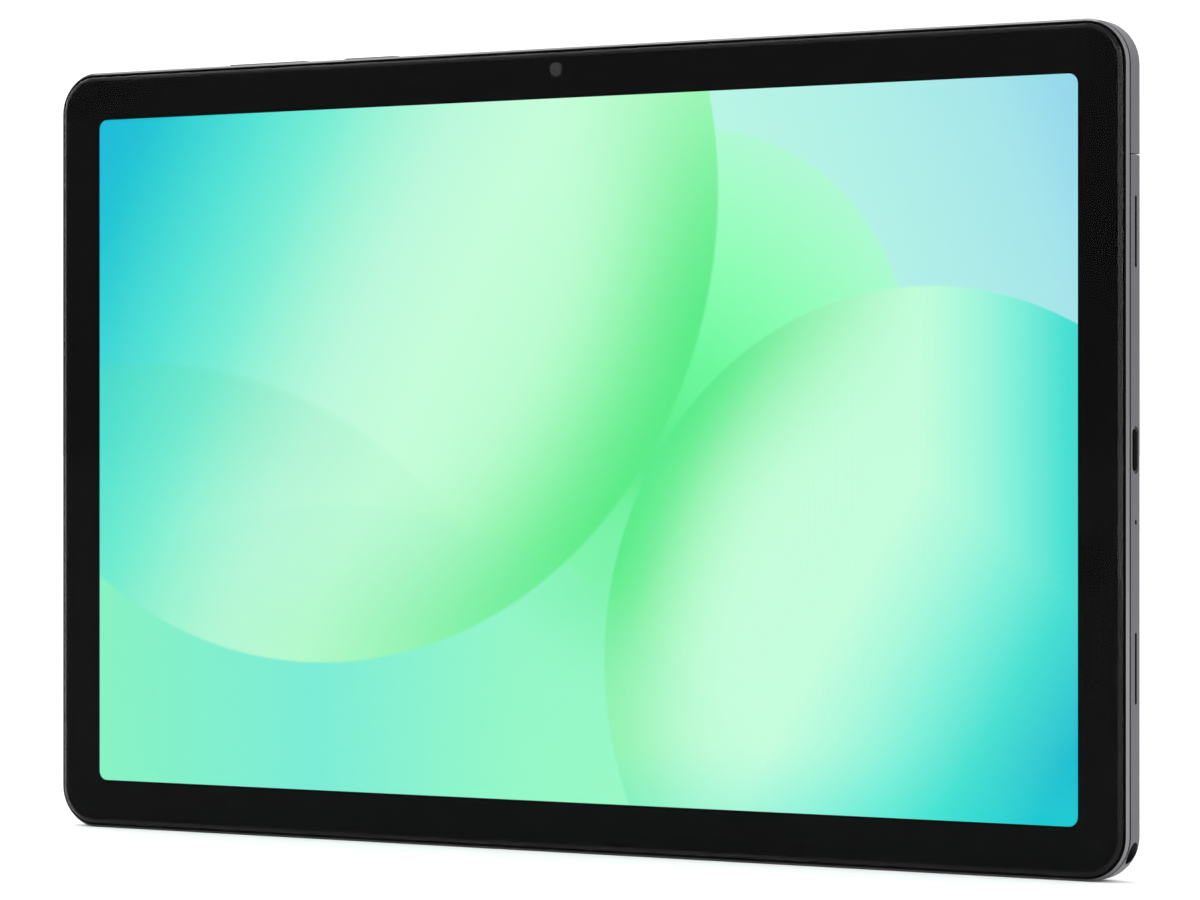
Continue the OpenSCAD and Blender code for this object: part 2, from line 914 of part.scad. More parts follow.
module battery_cell(side) {
    color([0.25, 0.25, 0.27])
        stood_up()
            mirror([side < 0 ? 1 : 0, 0, 0])
                translate([2, 0, 0]) {
                    layer(cell_pack_z, cell_pack_z + cell_pack_t)
                        translate([cell_pack_w / 2, cell_pack_y + cell_pack_h / 2])
                            rounded_rect(cell_pack_w, cell_pack_h, 2);
                    span([10, cell_pack_y + cell_pack_h - 1, 2.1], [28, cell_pack_y + cell_pack_h + 2, 2.5]);
                }
}

module battery_cell_left() {
    battery_cell(-1);
}

module battery_cell_right() {
    battery_cell(1);
}

module battery_board() {
    color([0.1, 0.35, 0.2])
        stood_up() {
            span([-34, 118.2, 1.95], [34, 123, 2.6]);
            for (x = [-28, -16, 12, 22])
                span([x, 119, 2.6], [x + 5, 122.2, 3.2]);
        }
}

module battery_flex() {
    color([0.8, 0.5, 0.2])
        stood_up()
            span([-9, 119, 1.95 - flex_t], [-1, 134.2, 1.95]);
}

module battery_adhesive() {
    color([0.9, 0.9, 0.88])
        stood_up()
            both_sides()
                for (x = [14, 44, 74])
                    span([x, cell_pack_y + 6, cell_pack_z + cell_pack_t],
                         [x + 16, cell_pack_y + cell_pack_h - 6, plate_z]);
}

// ---- Main board ----

module main_board() {
    color([0.05, 0.2, 0.14])
        stood_up()
            difference() {
                layer(board_z, board_z + board_t)
                    translate([(board_left + board_right) / 2, (board_bottom + board_top) / 2])
                        rounded_rect(board_right - board_left, board_top - board_bottom, 1.5);
                for (p = board_holes)
                    translate([p[0], p[1], 0])
                        cylinder(h = body_t, r = screw_hole_r + 0.08);
            }
}

module board_chips() {
    color([0.12, 0.12, 0.13])
        stood_up()
            for (c = chip_list)
                span([c[0] - c[2] / 2, c[1] - c[3] / 2, board_z - c[4]],
                     [c[0] + c[2] / 2, c[1] + c[3] / 2, board_z]);
}

module shield_cans() {
    color([0.75, 0.75, 0.76])
        stood_up()
            for (c = cans)
                translate([c[0], c[1], board_z - can_h])
                    difference() {
                        linear_extrude(can_h)
                            rounded_rect(c[2], c[3], 0.8);
                        translate([0, 0, can_t])
                            linear_extrude(can_h)
                                rounded_rect(c[2] - 2 * can_t, c[3] - 2 * can_t, 0.7);
                    }
}

module heat_sheet() {
    color([0.2, 0.2, 0.22])
        stood_up()
            span([-86, 137, board_z - can_h - 0.1], [18, 152, board_z - can_h]);
}

module board_connectors() {
    color([0.85, 0.83, 0.75])
        stood_up() {
            for (c = connector_list)
                span([c[0] - c[2] / 2, c[1] - c[3] / 2, board_z - connector_h],
                     [c[0] + c[2] / 2, c[1] + c[3] / 2, board_z]);
            for (y = [68.5, 98.5])
                span([110, y - 2, socket_board_z + board_t], [113, y + 2, plate_z - 0.29]);
        }
}

// ---- Socket board and sockets ----

module socket_board() {
    color([0.05, 0.2, 0.14])
        stood_up()
            difference() {
                span([socket_board_left, socket_board_bottom, socket_board_z],
                     [socket_board_right, socket_board_top, socket_board_z + board_t]);
                span([usb_front_x - usb_depth - 0.1, mid_y - 4.6, 0], [side_x, mid_y + 4.6, body_t]);
                for (p = socket_board_holes)
                    translate([p[0], p[1], 0])
                        cylinder(h = body_t, r = screw_hole_r + 0.08);
            }
}

module usb_shell() {
    color([0.72, 0.72, 0.73])
        stood_up()
            difference() {
                through_side(usb_front_x - usb_depth, usb_front_x, mid_y, port_z)
                    stadium(usb_shell_l, usb_shell_w);
                through_side(usb_front_x - usb_depth + 0.8, side_x, mid_y, port_z)
                    stadium(usb_shell_l - 2 * usb_wall, usb_shell_w - 2 * usb_wall);
            }
}

module usb_tongue() {
    color([0.08, 0.08, 0.08])
        stood_up() {
            through_side(usb_front_x - usb_depth + 0.8, usb_front_x - 0.9, mid_y, port_z)
                square([usb_tongue_l, usb_tongue_t], center = true);
            through_side(usb_front_x - usb_depth + 0.8, usb_front_x - usb_depth + 1.6, mid_y, port_z)
                square([usb_tongue_l, 1.6], center = true);
        }
}

module usb_contacts() {
    color([0.85, 0.7, 0.35])
        stood_up()
            for (side = [0, 1], i = [0 : 11])
                translate([usb_front_x - 4.6, mid_y + (i - 5.5) * usb_pin_pitch - 0.12,
                           port_z + (side == 0 ? usb_tongue_t / 2 : -usb_tongue_t / 2 - 0.05)])
                    cube([3.2, 0.24, 0.05]);
}

module link_flex() {
    z1 = plate_z - 0.16;
    z0 = z1 - flex_t;
    color([0.8, 0.5, 0.2])
        stood_up() {
            span([104.6, 97, z0], [107.6, 143, z1]);
            span([99, 139, z0], [107.6, 143, z1]);
            span([104.6, 97, z0], [113, 100, z1]);
        }
}

module headphone_flex() {
    z1 = plate_z - 0.16;
    z0 = z1 - flex_t;
    color([0.8, 0.5, 0.2])
        stood_up() {
            span([104.6, jack_y - 1.5, z0], [107.6, 70, z1]);
            span([104.6, jack_y - 1.5, z0], [jack_body_x, jack_y + 1.5, z1]);
            span([104.6, 67, z0], [113, 70, z1]);
        }
}

module headphone_socket() {
    color([0.06, 0.06, 0.06])
        stood_up()
            difference() {
                union() {
                    span([jack_body_x, jack_y - jack_body_h / 2, jack_body_z0],
                         [jack_body_x + jack_body_l, jack_y + jack_body_h / 2, jack_body_z1]);
                    translate([jack_body_x, jack_y, jack_z])
                        rotate([0, 90, 0])
                            cylinder(h = jack_end - jack_body_x, r = jack_nose_r);
                }
                translate([jack_end - jack_l, jack_y, jack_z])
                    rotate([0, 90, 0])
                        cylinder(h = jack_l + cut, r = jack_r);
                translate([jack_end - jack_l - jack_point_l, jack_y, jack_z])
                    rotate([0, 90, 0])
                        cylinder(h = jack_point_l, r1 = jack_point_r, r2 = jack_r);
                for (x = [jack_body_x + 2.8, jack_body_x + 6.2, jack_body_x + 9.4], s = [-1, 1])
                    translate([x, jack_y + s * (jack_body_h / 2 - 0.12), jack_z])
                        cube([1.7, 0.26, 2.6], center = true);
            }
}

module headphone_contacts() {
    color([0.85, 0.7, 0.35])
        stood_up()
            for (x = [jack_body_x + 2.8, jack_body_x + 6.2, jack_body_x + 9.4], s = [-1, 1])
                translate([x, jack_y + s * (jack_body_h / 2 - 0.15), jack_z])
                    cube([1.4, 0.15, 2.2], center = true);
}

module microphone() {
    y = mid_y - mic_offset;
    color([0.7, 0.65, 0.45])
        stood_up()
            difference() {
                span([122.9, y - 2, 1], [126.4, y + 2, socket_board_z]);
                translate([126, y, 1.5])
                    rotate([0, 90, 0])
                        cylinder(h = cut, r = 0.3);
            }
}

// ---- Speakers ----

module speaker_box() {
    nose = inner_x - mesh_t - 0.1;
    difference() {
        union() {
            layer(speaker_z0, speaker_z1)
                translate([speaker_x + speaker_w / 2, 0])
                    rounded_rect(speaker_w, speaker_h, 1.5);
            span([speaker_x + speaker_w - 1, -8.5, 1.2], [nose, 8.5, 3.4]);
            for (s = [-1, 1])
                translate([speaker_ear_x, s * speaker_ear_y, speaker_ear_z])
                    cylinder(h = speaker_ear_t, r = 2.3);
            span([speaker_ear_x - 2.3, -speaker_ear_y, speaker_ear_z],
                 [speaker_ear_x + 2.3, speaker_ear_y, speaker_ear_z + speaker_ear_t]);
        }
        through_side(speaker_x + 7, side_x, 0, port_z)
            stadium(speaker_slot_l, speaker_slot_w);
        translate([speaker_x + 7, 0, speaker_z0 - cut])
            linear_extrude(cut + 0.3)
                stadium(9, 7);
        for (s = [-1, 1])
            translate([speaker_ear_x, s * speaker_ear_y, 0])
                cylinder(h = body_t, r = screw_hole_r + 0.08);
    }
}

module speaker(side, up) {
    color([0.12, 0.12, 0.13])
        stood_up()
            mirror([side < 0 ? 1 : 0, 0, 0])
                translate([0, mid_y + up * speaker_offset, 0])
                    speaker_box();
}

module speaker_upper_right() {
    speaker(1, 1);
}

module speaker_lower_right() {
    speaker(1, -1);
}

module speaker_upper_left() {
    speaker(-1, 1);
}

module speaker_lower_left() {
    speaker(-1, -1);
}

module speaker_meshes() {
    pitch = 0.66;
    color([0.2, 0.2, 0.21])
        stood_up()
            speaker_places()
                difference() {
                    through_side(inner_x - mesh_t - 0.05, inner_x - 0.05, 0, port_z)
                        stadium(speaker_slot_l + 1.6, 2);
                    for (i = [-10 : 10], s = [-1, 1])
                        translate([inner_x - 2 * mesh_t, i * pitch, port_z + s * 0.25])
                            rotate([0, 90, 0])
                                cylinder(h = cut, r = 0.17, $fn = 24);
                }
}

// ---- Antennas ----

module antenna_films() {
    color([0.8, 0.65, 0.3])
        stood_up() {
            span([-124, 147, floor_t], [-97, 164, floor_t + 0.08]);
            span([60, 147, floor_t], [104, 164, floor_t + 0.08]);
            span([-116, 4, floor_t], [-80, 18, floor_t + 0.08]);
        }
}

// Cable from one end to the other along x_out, with two round bends, at one height
module cable_loop(x_low, y_low, x_out, x_high, y_high) {
    translate([0, 0, cable_z]) {
        for (end = [[x_low, y_low], [x_high, y_high]])
            translate([end[0], end[1], 0])
                rotate([0, 90, 0])
                    cylinder(h = x_out - cable_bend - end[0], r = cable_r);
        translate([x_out, y_low + cable_bend, 0])
            rotate([-90, 0, 0])
                cylinder(h = y_high - y_low - 2 * cable_bend, r = cable_r);
        for (bend = [[y_low + cable_bend, -90], [y_high - cable_bend, 0]])
            translate([x_out - cable_bend, bend[0], 0])
                rotate(bend[1])
                    rotate_extrude(angle = 90)
                        translate([cable_bend, 0])
                            circle(r = cable_r);
    }
}

module antenna_cables() {
    color([0.1, 0.1, 0.1])
        stood_up() {
            mirror([1, 0, 0])
                cable_loop(100, 19.5, 105.8, 101, 150);
            cable_loop(101, 152, 105.8, 100, 162);
        }
}

// ---- Screws ----

module board_screws() {
    color([0.75, 0.75, 0.76])
        stood_up() {
            for (p = board_holes)
                screw(p[0], p[1], board_z, plate_top - board_z - 0.06);
            for (p = socket_board_holes)
                screw(p[0], p[1], socket_board_z, plate_top - socket_board_z - 0.06);
        }
}

module speaker_screws() {
    color([0.75, 0.75, 0.76])
        stood_up()
            speaker_places()
                for (s = [-1, 1])
                    screw(speaker_ear_x, s * speaker_ear_y, speaker_ear_z,
                          plate_top - speaker_ear_z - 0.06);
}

module bracket_screws() {
    color([0.75, 0.75, 0.76])
        stood_up()
            for (x = bracket_ears)
                screw(x, bracket_ear_y, board_z, plate_top - board_z - 0.06);
}

cover_glass();
bezel_print();
optical_adhesive();
display_cell();
diffuser_films();
light_guide();
led_strip();
display_tray();
display_tape();
display_flex();
glass_gasket();
front_frame();
support_plate();
rear_housing();
antenna_cover();
volume_key();
power_key();
key_bracket();
key_flex();
key_domes();
card_tray();
card_reader();
front_camera();
front_camera_lens();
rear_camera();
rear_camera_ring();
rear_camera_glass();
rear_camera_foam();
battery_cell_left();
battery_cell_right();
battery_board();
battery_flex();
battery_adhesive();
main_board();
board_chips();
shield_cans();
heat_sheet();
board_connectors();
socket_board();
usb_shell();
usb_tongue();
usb_contacts();
link_flex();
headphone_socket();
headphone_contacts();
headphone_flex();
speaker_upper_right();
speaker_lower_right();
speaker_upper_left();
speaker_lower_left();
speaker_meshes();
microphone();
antenna_films();
antenna_cables();
board_screws();
speaker_screws();
bracket_screws();
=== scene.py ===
"""A tablet computer standing on its long edge on a pale floor.

Metres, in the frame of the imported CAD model. Every visible piece of the tablet is a CAD node: this
script gives each one its finish, and adds the floor, the light and the camera.
"""

import json
import math

import bpy
from mathutils import Euler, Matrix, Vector


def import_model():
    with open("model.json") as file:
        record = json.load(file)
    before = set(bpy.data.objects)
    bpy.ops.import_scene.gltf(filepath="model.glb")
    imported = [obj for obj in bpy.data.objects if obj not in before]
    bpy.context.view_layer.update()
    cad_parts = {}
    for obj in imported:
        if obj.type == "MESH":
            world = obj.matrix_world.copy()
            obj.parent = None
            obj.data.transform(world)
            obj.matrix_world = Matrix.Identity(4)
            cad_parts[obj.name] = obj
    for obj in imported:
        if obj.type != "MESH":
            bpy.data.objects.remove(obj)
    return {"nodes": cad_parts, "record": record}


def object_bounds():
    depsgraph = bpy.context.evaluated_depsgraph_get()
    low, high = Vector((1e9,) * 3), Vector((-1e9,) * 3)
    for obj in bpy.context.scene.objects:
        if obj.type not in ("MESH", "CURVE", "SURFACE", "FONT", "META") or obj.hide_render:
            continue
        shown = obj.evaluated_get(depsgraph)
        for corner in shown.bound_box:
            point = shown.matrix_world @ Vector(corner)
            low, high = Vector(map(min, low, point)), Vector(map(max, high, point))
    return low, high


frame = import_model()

CAD_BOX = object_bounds()
NODES = frame["nodes"]
MM = 0.001
FULL_TURN = 2 * math.pi

# ---- Places on the tablet, in millimetres ----

WINDOW_LEFT = -118.0
WINDOW_FLOOR = 10.65
WINDOW_WIDTH = 236
RING_CENTRE_X = 115.35
RING_CENTRE_Z = 155.5

# ---- The picture's colours, as the eye sees them, from 0 to 255 ----

CYAN = (6, 189, 220)
PALE_MINT = (198, 255, 219)
SOFT_GREEN = (160, 255, 192)
LEAF_GREEN = (84, 236, 132)
SPRING_GREEN = (88, 237, 138)
SKY = (148, 216, 238)
HEART_GREEN = (100, 240, 150)
LOBE_GREEN = (92, 220, 170)
FOOT_BLUE = (0, 232, 214)
VEIL_BLUE = (120, 232, 205)

# Stops along a gradient: the place from 0 to 1, and the colour there.
LOW_GROUND = [(0.0, (134, 244, 195)), (0.24, (122, 238, 216)), (0.46, (148, 249, 200)),
              (1.0, SOFT_GREEN)]
HIGH_GROUND = [(0.0, (188, 249, 228)), (0.45, (178, 242, 232)), (0.8, (166, 231, 235)), (1.0, SKY)]
BACK_DISC_STOPS = [(0.0, (88, 235, 138)), (0.34, (108, 250, 158)), (0.58, (138, 255, 180)),
                   (0.8, (163, 254, 200)), (0.96, (178, 250, 216))]
LEFT_DISC_STOPS = [(0.0, CYAN), (0.07, (18, 199, 215)), (0.13, (47, 211, 214)),
                   (0.23, (80, 227, 214)), (0.35, (118, 239, 214)), (0.456, (161, 246, 216)),
                   (0.556, (188, 250, 221)), (0.7, PALE_MINT), (0.86, (188, 254, 210)),
                   (1.0, (172, 255, 198))]
RIGHT_DISC_STOPS = [(0.0, (140, 252, 182)), (0.27, PALE_MINT), (0.57, (197, 255, 222)),
                    (0.665, (170, 250, 221)), (0.767, (125, 241, 218)), (0.863, (68, 225, 211)),
                    (1.0, (8, 190, 213))]

# ---- The picture's shapes, in millimetres from the window's lower left corner ----

# Discs: centre x, centre y, radius.
HEART = (141, 70, 76)
BACK_DISC = (150, 90, 50)
LOBE = (12, -22, 115)
LEFT_DISC = (57, 127, 99.5)
RIGHT_DISC = (203, 30, 73.5)
RIGHT_DISC_FLAT = 0.96
VEIL = (64, -62, 124)
DISC_EDGE = (1.003, 0.994)

# Gradients: start x, start y, way x, way y, length.
LOW_GROUND_LINE = (0, 0, 1, 0, WINDOW_WIDTH)
HIGH_GROUND_LINE = (146, 128, 1, 0.4, 96)
LEFT_DISC_LINE = (-7, 125, 1, -0.55, 160)
LEFT_RIM_LINE = (20, 60, 0.9, 0.25, 120)
RIGHT_DISC_LINES = ((132, 100, 1, -0.6, 155), (140, 100, 1, 0, 108))
RIGHT_RIM_LINE = (130, 60, 1, -0.3, 90)

# How much each shade counts.
LOBE_WEIGHT = 0.22
VEIL_WEIGHT = 0.07
FOOT_WEIGHT = 0.3
LEFT_RIM_WEIGHT = 0.6
RIGHT_RIM_WEIGHT = 0.52

# ---- Reflected colours, in linear numbers: each finish varies from the first to the second ----

SHADES = {
    "blasted_frame": ((0.084, 0.082, 0.094), (0.1, 0.098, 0.112)),
    "cut_chamfer": ((0.17, 0.17, 0.173), (0.21, 0.21, 0.214)),
    "paint": ((0.08, 0.078, 0.09), (0.099, 0.097, 0.11)),
    "clear_glass": ((0.985, 0.99, 0.99), (1.0, 1.0, 1.0)),
    "black_ink": ((0.0012, 0.0012, 0.0012), (0.0022, 0.0022, 0.0022)),
    "unlit_screen": ((0.001, 0.001, 0.001), (0.002, 0.002, 0.002)),
    "turned_ring": ((0.17, 0.168, 0.182), (0.22, 0.218, 0.234)),
    "amber_film": ((0.2, 0.075, 0.018), (0.42, 0.18, 0.05)),
    "solder_resist": ((0.012, 0.075, 0.042), (0.03, 0.15, 0.085)),
    "laminate": ((0.03, 0.031, 0.034), (0.085, 0.087, 0.093)),
    "graphite": ((0.035, 0.035, 0.035), (0.07, 0.07, 0.07)),
    "gold": ((0.83, 0.58, 0.24), (0.95, 0.72, 0.36)),
    "paper": ((0.87, 0.87, 0.87), (0.88, 0.88, 0.88)),
}
HOUSING_COLOUR = (0.09, 0.088, 0.101)
KEY_COLOUR = (0.11, 0.108, 0.12)
# Painted shade: the front frame's lip is near-black to stand for the shadowed gap round the glass.
LIP_PAINTED_SHADE = (0.008, 0.008, 0.008)
GRAZING_TINT = (0.35, 0.35, 0.35)
TINNED_PAD = (0.62, 0.6, 0.56)

# ---- Floor, light and camera ----

FLOOR_RADIUS = 60.0
FLOOR_FIRST_RING = 0.2
FLOOR_RINGS = 24
FLOOR_STEPS = 48
ROOM_BRIGHT_HEIGHT = 0.1
ROOM_HORIZON_STRENGTH = 1.0
ROOM_UPPER_STRENGTH = 1.3
TABLET_MIDDLE = (0.0, 0.0, 0.08)
SOFT_LAMP_SIDE = 1.3
SOFT_LAMPS = {"side": ((1.35, -0.7, 0.3), 10.0), "front": ((0.62, -1.69, 0.4), 8.0)}
SUN_FROM = (-0.5, 0.02, 0.87)
SUN_STRENGTH = 1.2
SUN_ANGLE = 56
SENSOR_WIDTH = 36.0
LENS_LENGTH = 123.8
CAMERA_PLACE = (0.4344, -0.7507, 0.08435)
CAMERA_TURN = 29.537
CAMERA_REACH = 500.0


def linear(colour):
    """A colour from 0 to 255 as three linear numbers."""
    def one(v):
        v = v / 255
        return v / 12.92 if v <= 0.04045 else ((v + 0.055) / 1.055) ** 2.4
    return tuple(one(v) for v in colour)


def scaled(colour, factor):
    return tuple(v * factor for v in colour)


class Finish:
    """A material whose nodes are made by short calls.

    A call's arguments are sockets or plain values, and colours are three linear numbers.
    """

    def __init__(self, name, **values):
        self.material = bpy.data.materials.new(name)
        self.material.use_nodes = True
        self.tree = self.material.node_tree
        self.tree.nodes.clear()
        output = self.new("OutputMaterial")
        self.shader = self.new("BsdfPrincipled")
        self.tree.links.new(self.shader.outputs[0], output.inputs["Surface"])
        place = self.new("TexCoord")
        self.place = place.outputs["Object"]
        self.facing = place.outputs["Normal"]
        self.give(**values)

    def new(self, kind, **settings):
        node = self.tree.nodes.new("ShaderNode" + kind)
        for key, value in settings.items():
            setattr(node, key, value)
        return node

    def feed(self, socket, value):
        """Links a socket to another, or sets it. None leaves it as it is."""
        if isinstance(value, bpy.types.NodeSocket):
            self.tree.links.new(value, socket)
        elif value is not None:
            socket.default_value = (*value, 1.0) if socket.type == "RGBA" else value

    def give(self, **values):
        """Sets the shader's sockets, named with _ for each space."""
        for key, value in values.items():
            self.feed(self.shader.inputs[key.replace("_", " ")], value)
        return self

    def sums(self, operation, a, b=None, clamp=False):
        node = self.new("Math", operation=operation, use_clamp=clamp)
        for socket, value in zip(node.inputs, (a, b)):
            self.feed(socket, value)
        return node.outputs[0]

    def add(self, a, b):
        return self.sums("ADD", a, b)

    def less(self, a, b):
        return self.sums("SUBTRACT", a, b)

    def times(self, a, b):
        return self.sums("MULTIPLY", a, b)

    def smooth(self, value, start, end):
        """0 before start and 1 after end, turning smoothly. start may be the larger."""
        flip = start > end
        node = self.new("MapRange", interpolation_type="SMOOTHSTEP")
        low, high = (end, start) if flip else (start, end)
        out = (1.0, 0.0) if flip else (0.0, 1.0)
        for socket, given in zip(node.inputs, (value, low, high, *out)):
            self.feed(socket, given)
        return node.outputs[0]

    def range(self, value, low, high):
        """A value from 0 to 1 taken to low..high."""
        node = self.new("MapRange")
        for socket, given in zip(node.inputs, (value, 0.0, 1.0, low, high)):
            self.feed(socket, given)
        return node.outputs[0]

    def mix(self, share, a, b):
        """Colour a where share is 0 and b where it is 1."""
        node = self.new("Mix", data_type="RGBA")
        for key, value in ((0, share), (6, a), (7, b)):
            self.feed(node.inputs[key], value)
        return node.outputs[2]

    def ramp(self, value, stops):
        """stops is a list of (place from 0 to 1, colour from 0 to 255)."""
        node = self.new("ValToRGB")
        marks = node.color_ramp.elements
        while len(marks) < len(stops):
            marks.new(1.0)
        for mark, (place, colour) in zip(marks, stops):
            mark.position = place
            mark.color = (*linear(colour), 1.0)
        self.feed(node.inputs[0], value)
        return node.outputs[0]

    def parts(self, vector):
        """The x, y and z of a vector."""
        node = self.new("SeparateXYZ")
        self.feed(node.inputs[0], vector)
        return node.outputs

    def stretched(self, x, y, z):
        """The place on the object, scaled apart along each axis."""
        node = self.new("Mapping")
        self.feed(node.inputs["Vector"], self.place)
        node.inputs["Scale"].default_value = (x, y, z)
        return node.outputs[0]

    def noise(self, size, detail=2.0, place=None, rough=0.5):
        """Even noise whose blotches are about size millimetres across."""
        node = self.new("TexNoise")
        self.feed(node.inputs["Vector"], self.place if place is None else place)
        node.inputs["Scale"].default_value = 1.0 / (size * MM)
        node.inputs["Detail"].default_value = detail
        node.inputs["Roughness"].default_value = rough
        return node.outputs[0]

    def cells(self, size, output="Distance"):
        """Cells about size millimetres across."""
        node = self.new("TexVoronoi")
        self.feed(node.inputs["Vector"], self.place)
        node.inputs["Scale"].default_value = 1.0 / (size * MM)
        return node.outputs[output]

    def waves(self, distance, pitch):
        """From -1 to 1 and back once in every pitch millimetres."""
        return self.sums("SINE", self.times(distance, FULL_TURN / (pitch * MM)))

    def colour(self, share, low, high):
        """The base colour, low where share is 0 and high where it is 1."""
        return self.give(Base_Color=self.mix(share, low, high))

    def rough(self, share, low, high):
        """The roughness, low where share is 0 and high where it is 1."""
        return self.give(Roughness=self.range(share, low, high))

    def bump(self, height, depth, strength=1.0):
        """Relief of depth millimetres."""
        node = self.new("Bump")
        node.inputs["Strength"].default_value = strength
        node.inputs["Distance"].default_value = depth * MM
        self.feed(node.inputs["Height"], height)
        return self.give(Normal=node.outputs[0])


# ---- Finishes of the outside ----


def blasted_metal(name, colour, grain=0.16, relief=0.012, rough=(0.36, 0.46)):
    """Anodised aluminium with the fine grain of bead blasting, and slow changes of shade."""
    f = Finish(name, Metallic=1.0)
    fine = f.noise(grain, detail=3.0)
    slow = f.noise(38.0)
    handled = f.noise(9.0, detail=4.0, rough=0.6)
    shade = f.add(f.times(fine, 0.5), f.times(slow, 0.5))
    f.colour(shade, scaled(colour, 0.9), scaled(colour, 1.1))
    f.rough(f.add(f.times(handled, 0.6), f.times(fine, 0.4)), *rough)
    return f.bump(fine, relief, 0.6).material


def frame_metal():
    """The front frame: a bright chamfer with the fine lines of its cutter, a lip painted near-black
    as painted shade for the shadowed gap between the glass and the frame, and the rest blasted."""
    f = Finish("frame_metal", Metallic=1.0, Specular_Tint=GRAZING_TINT)
    fine = f.noise(0.16, detail=3.0)
    lines = f.noise(0.05, detail=1.0, place=f.stretched(1.0, 30.0, 1.0))
    slow = f.noise(30.0)
    front = f.parts(f.facing)[1]
    cut = f.times(f.smooth(front, -0.3, -0.5), f.smooth(front, -0.8, -0.7))
    # The front-facing lip gets a near-black colour: painted shade for the dark gap between glass and
    # frame.
    lip = f.smooth(front, -0.85, -0.95)
    matt = f.mix(slow, *SHADES["blasted_frame"])
    bright = f.mix(lines, *SHADES["cut_chamfer"])
    f.colour(lip, f.mix(cut, matt, bright), LIP_PAINTED_SHADE)
    uncut = f.less(1.0, cut)
    matt_rough = f.range(fine, 0.36, 0.46)
    cut_rough = f.range(lines, 0.08, 0.14)
    f.give(Roughness=f.add(f.times(cut, cut_rough), f.times(uncut, matt_rough)))
    relief = f.add(f.times(uncut, fine), f.times(cut, f.times(lines, 0.15)))
    return f.bump(relief, 0.01, 0.5).material


def painted_plastic():
    """The plastic over the antennas and the card tray's face, sprayed to match the metal."""
    f = Finish("painted_plastic", Metallic=0.85)
    grain = f.noise(0.2, detail=3.0)
    flake = f.cells(0.09, "Color")
    slow = f.noise(34.0)
    shade = f.add(f.times(f.parts(flake)[0], 0.35), f.times(slow, 0.65))
    f.colour(shade, *SHADES["paint"])
    f.rough(f.add(f.times(grain, 0.5), f.times(slow, 0.5)), 0.38, 0.5)
    return f.bump(grain, 0.01, 0.6).material


def cover_glass():
    """Clear glass, whose low index stands for its anti-reflection layer.

    The rounded rim reflects more, and fingers leave a thin film.
    """
    f = Finish("cover_glass", Transmission_Weight=1.0, IOR=1.14, Coat_IOR=1.22, Coat_Roughness=0.05)
    f.give(Coat_Weight=f.smooth(f.parts(f.facing)[1], -0.997, -0.97))
    f.colour(f.noise(60.0), *SHADES["clear_glass"])
    film = f.smooth(f.noise(24.0, detail=5.0, rough=0.65), 0.52, 0.72)
    return f.rough(film, 0.0, 0.012).material


def black_print():
    """Black ink on the back of the glass, with the dots of the print barely there."""
    f = Finish("black_print", Specular_IOR_Level=0.05)
    dots = f.cells(0.12)
    f.colour(f.noise(45.0), *SHADES["black_ink"])
    f.rough(dots, 0.42, 0.58)
    return f.bump(dots, 0.002, 0.4).material


